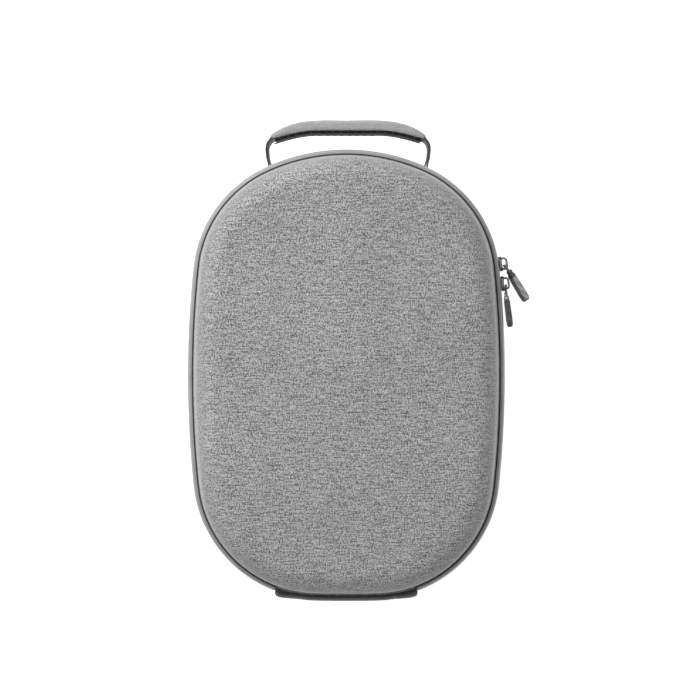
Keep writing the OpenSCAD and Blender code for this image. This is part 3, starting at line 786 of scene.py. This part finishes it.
def ribbon(name, points, thickness, width, axis=(0, 0, 1), bevel=0.2):
    """A flat band: a line of points extruded across by width, thickened on both sides and rounded."""
    piece = draw_profile(name, points)
    bpy.ops.mesh.extrude_edges_move(TRANSFORM_OT_translate={"value": Vector(axis) * width * MM})
    bpy.ops.object.mode_set(mode="OBJECT")
    face_outwards(piece)
    apply_modifier(piece, "SOLIDIFY", thickness=thickness * MM, offset=0.0)
    apply_modifier(piece, "BEVEL", width=bevel * MM, segments=2, limit_method="ANGLE", angle_limit=radians(60))
    return smooth(piece, 50)


def join(name, pieces):
    all_off()
    for piece in pieces:
        piece.select_set(True)
    bpy.context.view_layer.objects.active = pieces[0]
    bpy.ops.object.join()
    pieces[0].name = pieces[0].data.name = name
    return pieces[0]


def settle(piece, matrix):
    """Turns a piece from the bench into its place, and keeps its object at the origin."""
    piece.matrix_world = matrix
    make_active(piece)
    bpy.ops.object.transform_apply()
    return piece


layers = []
for off, splay in ((0.57, 0.9), (-0.57, -1.3)):
    half = webbing_line(off)
    half = half[:-3] + [(x + splay * (k + 1) / 3, y - 0.25 * (k + 1)) for k, (x, y) in enumerate(half[-3:])]
    line = [Vector((-x * MM, y * MM, handle_z - 9 * MM)) for x, y in reversed(half[1:])]
    line += [Vector((x * MM, y * MM, handle_z - 9 * MM)) for x, y in half]
    layers.append(ribbon("webbing_layer", line, 0.95, 18, bevel=0.28))
webbing_cloth = woven_tape("black_polyester_webbing", "3a3938", "6b6967", rough=0.62, thread=0.9, sheen=0.3)
webbing = settle(join("handle_webbing_layers", layers), handle_fit)
dress(webbing, webbing_cloth, "black_webbing", None, "handle_webbing")
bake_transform(webbing)

# %% [markdown]
# ## The padded grip
# The grip is a long foam pad under grey cloth, fullest in the middle and thin at its ends. It is a soft form, so it
# is lofted a little too small, remeshed, and blown up by Cloth with pressure until the cover is taut. How far a point
# may move is capped, so it keeps its outline.

# %% Grip cover
def loft(name, stations):
    """A closed form through rectangles, each (centre, half-height along Y, half-width along Z)."""
    all_off()
    centre, up, across = stations[0]
    bpy.ops.mesh.primitive_grid_add(x_subdivisions=4, y_subdivisions=2, size=2, rotation=(0, pi / 2, 0))
    piece = bpy.context.object
    piece.name = piece.data.name = name
    bpy.ops.object.transform_apply()
    bpy.ops.object.mode_set(mode="EDIT")
    bpy.ops.mesh.select_all(action="SELECT")
    bpy.ops.transform.resize(value=(1, up, across), center_override=(0, 0, 0))
    bpy.ops.transform.translate(value=centre)
    for (was, was_up, was_across), (centre, up, across) in zip(stations, stations[1:]):
        bpy.ops.mesh.extrude_region_move(TRANSFORM_OT_translate={"value": centre - was})
        bpy.ops.transform.resize(value=(1, up / was_up, across / was_across), center_override=centre)
    bpy.ops.object.mode_set(mode="OBJECT")
    return face_outwards(piece)


def bar(name, sizes, side=0, thickness=None):
    """A loft along X through (x, half-height, half-width) in mm; with a side, a thin panel on that face."""
    return loft(name, [(Vector((x * MM, side * y * MM, 0)), (thickness or y) * MM, z * MM) for x, y, z in sizes])


def soften(piece, width, segments=3, angle=50):
    return apply_modifier(piece, "BEVEL", width=width * MM, segments=segments, limit_method="ANGLE",
                          angle_limit=radians(angle), use_clamp_overlap=True)


def blow_up(piece, pressure, cap, frames=14):
    """Cloth with pressure, gravity off; no point moves further than cap."""
    make_active(piece)
    rest = [v.co.copy() for v in piece.data.vertices]
    cloth = piece.modifiers.new("cloth", "CLOTH")
    settings = cloth.settings
    settings.quality, settings.mass = 6, 0.15
    settings.use_pressure, settings.uniform_pressure_force = True, pressure
    settings.effector_weights.gravity = 0
    cloth.point_cache.frame_start, cloth.point_cache.frame_end = 1, frames
    for number in range(1, frames + 1):
        bpy.context.scene.frame_set(number)
    blown = piece.evaluated_get(bpy.context.evaluated_depsgraph_get())
    moved = [v.co.copy() for v in blown.data.vertices]
    piece.modifiers.remove(cloth)
    bpy.context.scene.frame_set(1)
    most = 0.0
    for v, before, after in zip(piece.data.vertices, rest, moved):
        step = after - before
        most = max(most, step.length)
        if step.length > cap:
            step = step.normalized() * cap
        v.co = before + step
    print(f"{piece.name}: the cloth moved by up to {most / MM:.2f} mm")
    return piece


def handle_cloth():
    """Fine grey plain weave, smoother than the case's cover, with faint lengthwise streaks."""
    material, shader = start_material("grey_plain_weave", Roughness=0.72, IOR=1.46, Sheen_Weight=0.3,
                                      Sheen_Roughness=0.4)
    place = add_node(material, "ShaderNodeTexCoord").outputs["Object"]
    drawn = add_node(material, "ShaderNodeMapping", {"Vector": place, "Scale": (180, 900, 900)}).outputs[0]
    streak = add_node(material, "ShaderNodeTexNoise", {"Vector": drawn, "Scale": 1.0, "Detail": 3.0}).outputs[0]
    grain = add_node(material, "ShaderNodeTexNoise", {"Vector": place, "Scale": 1500.0, "Detail": 1.0}).outputs[0]
    mixed = add_node(material, "ShaderNodeMath", {0: streak, 1: grain}, operation="ADD").outputs[0]
    tone = add_node(material, "ShaderNodeMapRange", {"Value": mixed, "From Max": 2.0}).outputs[0]
    return two_tones(material, shader, tone, (0.3, "a3a09f"), (0.7, "c6c3c2"), mixed, 0.25, 0.15)


def make_grip():
    stations = []
    for x in (-49, -47.5, -45, -41, -36, -30, -23, -15, -7, 0, 7, 15, 23, 30, 36, 41, 45, 47.5, 49):
        low, high = low_at(x) + 1.6, top_at(x) - 0.35
        half = max(0.75, (high - low) / 2)
        across = 10.6 - 1.8 * (max(0, abs(x) - 40) / 9) ** 2
        stations.append((Vector((x * MM, (high - half) * MM, handle_z)), half * MM, across * MM))
    grip = loft("grip_padded_cover", stations)
    soften(grip, 1.8, angle=60)
    apply_modifier(grip, "REMESH", mode="VOXEL", voxel_size=1.3 * MM)
    blow_up(grip, 60.0, 0.8 * MM)
    apply_modifier(grip, "SMOOTH", factor=0.5, iterations=3)
    apply_modifier(grip, "SUBSURF", levels=1, render_levels=1)
    smooth(settle(grip, handle_fit), 80)
    dress(grip, handle_cloth(), "handle_fabric", "handle", "handle_cover", "handle_pad")
    return grip


make_grip()

# %% [markdown]
# ## The ribbed underside
# The fingers hold a black rubber strip with slanted ribs that wrap round its edges. The strip is a band; one rib is a
# rod bent round the band, and it is copied every 4.6 mm along the strip, each copy turned to the strip's slope.

# %% Rubber underside
def soft_rubber(name, dark, light):
    material, shader = start_material(name, Roughness=0.6, IOR=1.52, Specular_IOR_Level=0.2)
    place = add_node(material, "ShaderNodeTexCoord").outputs["Object"]
    dust = add_node(material, "ShaderNodeTexNoise", {"Vector": place, "Scale": 500.0, "Detail": 4.0}).outputs[0]
    return two_tones(material, shader, dust, (0.35, dark), (0.75, light), dust, 0.2, 0.1)


def rod(name, points, radius, corners=6):
    """A round rod along a line of points."""
    draw_profile(name, points)
    bpy.ops.object.mode_set(mode="OBJECT")
    bpy.ops.object.convert(target="CURVE")
    curve = bpy.context.object.data
    curve.bevel_depth, curve.bevel_resolution, curve.use_fill_caps = radius * MM, corners // 2 - 2, True
    bpy.ops.object.convert(target="MESH")
    piece = bpy.context.object
    piece.name = piece.data.name = name
    bpy.ops.object.shade_smooth()
    return piece


def make_underside():
    line = [Vector((x * MM, (low_at(x) + 1.35) * MM, handle_z - 10.3 * MM)) for x in range(-45, 46, 3)]
    band = ribbon("grip_underside_band", line, 1.7, 20.6, bevel=0.6)
    shape = [(4.8, 0.3, 10.5), (4.5, -0.3, 10.3), (4.1, -0.6, 9.6), (2.1, -0.75, 5), (-2.1, -0.75, -5),
             (-4.1, -0.6, -9.6), (-4.5, -0.3, -10.3), (-4.8, 0.3, -10.5)]
    rib = rod("grip_rib", [Vector((x * MM, y * MM, z * MM)) for x, y, z in shape], 0.42)
    matrices = []
    for k in range(-9, 10):
        x = k * 4.6
        lean = -lean_at(x) if x > 0 else lean_at(x)
        place = Vector((x * MM, (low_at(x) + 1.25) * MM, handle_z))
        matrices.append(Matrix.Translation(place) @ Matrix.Rotation(lean, 4, "Z"))
    return settle(band, handle_fit), settle(copies(rib, matrices, "grip_ribs"), handle_fit)


band, ribs = make_underside()
dress(band, soft_rubber("black_soft_rubber", "0a0a0a", "1b1b1b"), "ribbed_rubber", "handle", "handle_underside")
# the ribs are coloured paler grey than the black strip: a painted highlight for the light on their slanted edges
dress(ribs, soft_rubber("rubber_ribs_painted_highlight", "262626", "404040"), "ribbed_rubber", "handle")
grey_thread = woven_tape("grey_polyester_thread", "8a8887", "a8a6a5", rough=0.55, thread=0.5)
for name, z in (("front", handle_z + 10.7 * MM), ("back", handle_z - 10.7 * MM)):
    seam = [handle_fit @ Vector((x * MM, (low_at(x) + 2.3) * MM, z)) for x in range(-44, 45, 2)]
    dress(stitch_rows(f"grip_stitches_{name}", [(seam, Vector((0, 0, 1 if name == "front" else -1)))], pitch=3.0,
                      length=2.0, thickness=0.3), grey_thread, "dark_tape", "handle")

# %% [markdown]
# ## The feet of the webbing
# Each foot is covered by a patch of woven tape sewn to the wall. The patch follows the wall, so its line of depth is
# carried along the outline like every other part of the rim, and rows of stitches run round it.

# %% Anchor patches
patch_line = [(wall_at(-h) - 0.75, h) for h in (-9.9, -14, -19, -24, -28.4)]
anchors = carry("handle_anchor_patches", patch_line, 19.2, 32.6, 3 * MM)
apply_modifier(anchors, "SOLIDIFY", thickness=1.1 * MM, offset=0.0)
apply_modifier(anchors, "BEVEL", width=0.3 * MM, segments=2, limit_method="ANGLE", angle_limit=radians(60))
smooth(anchors, 50)
patch_tape = woven_tape("grosgrain_patch", "3b3b3c", "5e5e5f", thread=0.8)
dress(anchors, patch_tape, "dark_tape", "base", "handle_anchor_left", "handle_anchor_right")
rows = []
for h in (-11.4, -26.8):
    row = outline_path(wall_at(-h) - 1.35, h, 20, 31.8, 1)
    rows += [(row, outward(26)), (left_side(row), outward(-26))]
for t in (20, 31.8):
    row = [edge(t, (wall_at(-h) - 1.35) * MM, h * MM) for h in (-11.4, -16, -21, -26.8)]
    rows += [(row, outward(t)), (left_side(row), outward(-t))]
dress(stitch_rows("anchor_stitches", rows, 3.0, 2.1, 0.36), thread, "dark_tape", "base")

# %% [markdown]
# ## The pulls
# A pull is a slim bar: a dark moulded rim with a panel of light woven cloth let into each broad face, and a small
# metal ferrule where the wire link goes in. Each is modelled along X, as if it lay on the bench, and then turned into
# its place. The upper one leans out and shows its cloth; the lower one hangs down and shows its dark edge.

# %% Pulls
def pull_cloth():
    """Light grey twill: fine slanted lines, 0.8 mm apart."""
    material, shader = start_material("light_grey_twill", Roughness=0.7, IOR=1.46, Sheen_Weight=0.25)
    place = add_node(material, "ShaderNodeTexCoord").outputs["Object"]
    twill = add_node(material, "ShaderNodeTexWave", {"Vector": place, "Scale": 260.0, "Distortion": 1.5,
                     "Detail": 2.0, "Detail Scale": 2.0}, bands_direction="DIAGONAL").outputs["Fac"]
    return two_tones(material, shader, twill, (0.1, "9a9a9a"), (0.9, "c4c4c4"), twill, 0.4, 0.12)


def dark_rim():
    material, shader = start_material("dark_grey_moulded_rim", Roughness=0.5, IOR=1.5)
    place = add_node(material, "ShaderNodeTexCoord").outputs["Object"]
    scuff = add_node(material, "ShaderNodeTexNoise", {"Vector": place, "Scale": 420.0, "Detail": 5.0}).outputs[0]
    return two_tones(material, shader, scuff, (0.35, "525252"), (0.72, "767676"), scuff, 0.15, 0.1)


twill, rim_plastic = pull_cloth(), dark_rim()
# the pale nickel is a lit copy of the ferrule metal: a painted highlight on the lower pull, whose twin stays gunmetal
lit_ferrule_nickel = worn_metal("nickel_painted_highlight", "8f8e8d", "b9b8b6")
PULL = 20.9


def make_pull(name, matrix, node, ferrule_metal_painted_light):
    rim = bar(f"{name}_rim", ((1.6, 0.8, 1.5), (3.0, 1.25, 1.9), (4.6, 1.55, 2.2), (8, 1.7, 2.35),
                              (PULL - 5, 1.75, 2.4), (PULL - 1.2, 1.7, 2.3), (PULL - 0.25, 1.3, 1.9),
                              (PULL, 1.0, 1.6)))
    smooth(soften(rim, 0.5), 50)
    dress(settle(rim, matrix), rim_plastic, "pull_fabric", node, node)
    for side, sign in (("a", 1), ("b", -1)):
        panel = bar(f"{name}_panel_{side}", ((4.2, 1.5, 1.6), (5.6, 1.6, 2.12), (PULL - 5, 1.74, 2.28),
                                             (PULL - 1.9, 1.7, 2.12), (PULL - 0.9, 1.55, 1.7)), sign, 0.22)
        smooth(soften(panel, 0.2, segments=2), 50)
        dress(settle(panel, matrix), twill, "pull_fabric", node)
    ferrule = bar(f"{name}_ferrule", ((0.9, 0.95, 1.5), (1.5, 1.35, 1.95), (2.9, 1.58, 2.12), (3.8, 1.64, 2.2),
                                      (4.1, 1.5, 2.0)))
    eye = rod(f"{name}_eye", [Vector((0, 0, z * MM)) for z in (-1.6, 0, 1.6)], 1.25, 10)
    soften(ferrule, 0.4)
    metal = join(f"{name}_ferrule", [ferrule, eye])
    smooth(metal, 50)
    dress(settle(metal, matrix), ferrule_metal_painted_light, "slider_metal", node)


def pull_matrix(joint, link_angle, roll, grip_angle, twist):
    place = Vector([j for j in frame["joints"] if j["name"] == joint][0]["pos_m"])
    return (Matrix.Translation(place) @ Matrix.Rotation(radians(link_angle), 4, "Z")
            @ Matrix.Rotation(radians(roll), 4, "X") @ Matrix.Rotation(radians(grip_angle - link_angle), 4, "Z")
            @ Matrix.Rotation(radians(twist), 4, "X"))


# the same ferrule is gunmetal on the upper pull, in painted shade, and pale nickel on the lower, a painted highlight
make_pull("upper_pull", pull_matrix("upper_grip_swing", -50, 12, -59, 38), "upper_grip", zinc)
make_pull("lower_pull", pull_matrix("lower_grip_swing", -89, 0, -82.6, 0), "lower_grip", lit_ferrule_nickel)

# %% [markdown]
# ## Inside: lining, bindings and foam
# Opened, the case shows its lining, a brushed knit glued into the foam shell, and a binding tape that folds over the
# raw edges of cover, foam, lining and zip. The lining follows the cover 5.8 mm further in, and the binding is one
# more section carried round. The foam keeps its CAD shape, since it is hidden between cover and lining.

# %% Lining, bindings and foam
def brushed_knit():
    material, shader = start_material("brushed_knit_lining", Roughness=0.9, IOR=1.46, Sheen_Weight=0.5,
                                      Sheen_Roughness=0.5)
    place = add_node(material, "ShaderNodeTexCoord").outputs["Object"]
    nap = add_node(material, "ShaderNodeTexNoise", {"Vector": place, "Scale": 900.0, "Detail": 3.0}).outputs[0]
    swirl = add_node(material, "ShaderNodeTexNoise", {"Vector": place, "Scale": 45.0, "Detail": 4.0}).outputs[0]
    mixed = add_node(material, "ShaderNodeMath", {0: nap, 1: swirl}, operation="MULTIPLY").outputs[0]
    return two_tones(material, shader, mixed, (0.1, "2f2f31"), (0.45, "505053"), nap, 0.5, 0.3)


knit = brushed_knit()
for side, sign in (("lid", 1), ("base", -1)):
    section = [(wall_at(h, 5.8), h) for h in (8.9, 12, 18, 24, 30)] + turned_over(depth=5.8, steps=8)
    section = section if sign > 0 else mirrored_in_seam(section)
    lining = carry(f"{side}_knit_lining", section, step=5 * MM)
    close_face(lining, FACE_H - 5.8, CROWN, sign, scales=(0.9, 0.72, 0.5, 0.25))
    face_outwards(lining)
    apply_modifier(lining, "SOLIDIFY", thickness=0.5 * MM, offset=1.0)
    smooth(lining, 60)
    dress(lining, knit, "lining_fabric", side, f"{side}_lining")

binding_cloth = woven_tape("black_binding_tape", "1f1f20", "383839", thread=0.8)
binding_section = [(9.7, 6.5), (10.3, 7.1), (10.35, 8.0), (10.0, 8.65), (9.0, 8.8), (7.0, 8.85), (5.9, 8.7),
                   (5.3, 8.1), (5.25, 7.2), (5.9, 6.5), (7.8, 6.4), (9.7, 6.5)]
for side, section in (("lid", binding_section), ("base", mirrored_in_seam(binding_section))):
    binding = smooth(carry(f"{side}_edge_binding", section), 60)
    dress(binding, binding_cloth, "dark_tape", side, f"{side}_rim_binding")
    sign = 1 if side == "lid" else -1
    row = outline_path(9.2, sign * 6.4, -178, 178, 2)
    dress(stitch_rows(f"{side}_binding_stitches", [(row, Vector((0, 0, -sign)))], 5.0, 3.2, 0.4), thread, "dark_tape",
          side)


def closed_cell_foam():
    material, shader = start_material("closed_cell_foam", Roughness=0.85, IOR=1.5)
    place = add_node(material, "ShaderNodeTexCoord").outputs["Object"]
    cells = add_node(material, "ShaderNodeTexVoronoi", {"Vector": place, "Scale": 1100.0}).outputs["Distance"]
    return two_tones(material, shader, cells, (0.1, "242425"), (0.6, "333334"), cells, 0.4, 0.2)


foam = closed_cell_foam()
for node in ("lid_core", "base_core"):
    frame["nodes"][node].data.materials.clear()
    frame["nodes"][node].data.materials.append(foam)

# %% [markdown]
# ## Inside: mesh pocket and holding strap
# The lid has a pocket of knitted mesh for a cable, hemmed at its mouth, and the base has a strap in two halves that
# close with hook and loop. The mesh is a grid of 2.8 mm cells cut to the outline, whose edges Wireframe turns into
# threads. It is stretched flat, so nothing is simulated.

# %% Mesh pocket
def make_pocket():
    low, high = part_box("mesh_pocket")
    wide, tall = high.x - low.x, high.y - low.y
    all_off()
    bpy.ops.mesh.primitive_grid_add(x_subdivisions=60, y_subdivisions=52, size=1,
                                    location=((low.x + high.x) / 2, (low.y + high.y) / 2, (low.z + high.z) / 2))
    net = bpy.context.object
    net.scale = (wide, tall, 1)
    bpy.ops.object.transform_apply()
    net.name = net.data.name = "mesh_pocket_net"
    pick(net, lambda co: facing(co)[1] < 14.9)
    bpy.ops.mesh.delete(type="VERT")
    bpy.ops.object.mode_set(mode="OBJECT")
    apply_modifier(net, "WIREFRAME", thickness=0.56 * MM, use_even_offset=False)
    dress(net, woven_tape("knitted_mesh_thread", "1b1b1c", "303031", thread=0.4), "pocket_mesh", "lid", "mesh_pocket")


make_pocket()
strap_cloth = woven_tape("black_strap_webbing", "1e1e1f", "3a3a3b", thread=0.9)
low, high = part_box("mesh_pocket_hem")
hem_line = [Vector((low.x + (high.x - low.x) * k / 24, low.y + 0.2 * MM, (low.z + high.z) / 2)) for k in range(25)]
dress(ribbon("pocket_elastic_hem", hem_line, 1.2, (high.y - low.y) / MM - 0.4, (0, 1, 0), 0.3), strap_cloth,
      "black_webbing", "lid", "mesh_pocket_hem")

# %% Holding strap
for node, end in (("retaining_strap_left", -1), ("retaining_strap_right", 1)):
    low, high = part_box(node)
    z = low.z + 0.5 * MM if end < 0 else high.z - 0.5 * MM
    line = [Vector((low.x + (high.x - low.x) * k / 16, low.y + 0.3 * MM, z)) for k in range(17)]
    if end > 0:
        line += [Vector((high.x, low.y + 0.3 * MM, z + (low.z + 0.4 * MM - z) * k / 3)) for k in (1, 2, 3)]
    strap = ribbon(f"{node}_webbing", line, 0.9, 21.4, (0, 1, 0), 0.25)
    dress(strap, strap_cloth, "black_webbing", "base", node)
    side_x = (low.x if end < 0 else high.x) - end * 3.5 * MM
    row = [Vector((side_x, low.y + s * MM, z + 0.5 * MM)) for s in (2, 8, 14, 20)]
    row_back = [p - Vector((end * 4 * MM, 0, 0)) for p in row]
    dress(stitch_rows(f"{node}_stitches", [(row, Vector((0, 0, 1))), (row_back, Vector((0, 0, 1)))], 3, 2.1, 0.36),
          thread, "dark_tape", "base")


def pile(name, dark, light, scale):
    """Hook or loop tape: a dense nap of tiny loops."""
    material, shader = start_material(name, Roughness=0.95, IOR=1.46, Sheen_Weight=0.4, Sheen_Roughness=0.6)
    place = add_node(material, "ShaderNodeTexCoord").outputs["Object"]
    nap = add_node(material, "ShaderNodeTexVoronoi", {"Vector": place, "Scale": scale}).outputs["Distance"]
    return two_tones(material, shader, nap, (0.1, light), (0.6, dark), nap, 0.8, 0.3, invert=True)


for node, material in (("strap_loop_patch", pile("loop_pile", "141415", "2a2a2b", 1400)),
                       ("strap_hook_patch", pile("moulded_hooks", "101011", "262627", 1000))):
    low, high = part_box(node)
    line = [Vector((low.x + (high.x - low.x) * k / 10, low.y + 0.6 * MM, (low.z + high.z) / 2)) for k in range(11)]
    dress(ribbon(f"{node}_pile", line, 0.46, 20.8, (0, 1, 0), 0.12), material, "hook_and_loop", "base", node)

# %% [markdown]
# ## Studio
# The case lies on a plain white sweep. One broad soft light hangs above and to the upper left, a long strip stands on
# the left for the sheen of the satin tape, and a weak fill keeps the right side readable. The camera hangs straight
# above the case, 1.4 m over its seam, with a long lens, so hardly any perspective shows.

# %% Floor, lights and camera
def make_floor():
    all_off()
    bpy.ops.mesh.primitive_grid_add(x_subdivisions=8, y_subdivisions=8, size=9.0, location=(0, 0, -0.0005))
    floor = bpy.context.object
    floor.name = floor.data.name = "floor"
    material, shader = start_material("white_paper_sweep", Roughness=0.9, Base_Color=paint("fafafa"),
                                      Emission_Color=paint("ffffff"), Emission_Strength=0.82)
    floor.data.materials.append(material)


def soft_light(name, place, aim, size, power, size_y=None):
    light = bpy.data.lights.new(name, "AREA")
    light.shape, light.size, light.size_y = "RECTANGLE", size, size_y or size
    light.energy = power
    lamp = bpy.data.objects.new(name, light)
    bpy.context.scene.collection.objects.link(lamp)
    lamp.location = place
    lamp.rotation_euler = (Vector(aim) - Vector(place)).to_track_quat("-Z", "Y").to_euler()
    return lamp


make_floor()
soft_light("overhead_softbox", (-0.35, 0.45, 1.7), (0, 0, 0.05), 1.3, 18.5)
soft_light("left_strip", (-0.66, 0.8, 0.2), (0, 0, 0.06), 0.5, 7.5, 1.6)
soft_light("front_fill", (0.3, -0.6, 1.9), (0, 0, 0.05), 1.2, 2)
world = bpy.data.worlds.new("studio_air")
world.use_nodes = True
world.node_tree.nodes["Background"].inputs["Color"].default_value = paint("ffffff")
world.node_tree.nodes["Background"].inputs["Strength"].default_value = 0.07
bpy.context.scene.world = world
bpy.context.scene.view_settings.view_transform = "Standard"

camera_data = bpy.data.cameras.new("camera")
camera_data.sensor_width, camera_data.lens = 36.0, 115.7
camera = bpy.data.objects.new("camera", camera_data)
bpy.context.scene.collection.objects.link(camera)
camera.location = (2.3 * MM, 15.06 * MM, seam_z + 1.4)
bpy.context.scene.camera = camera
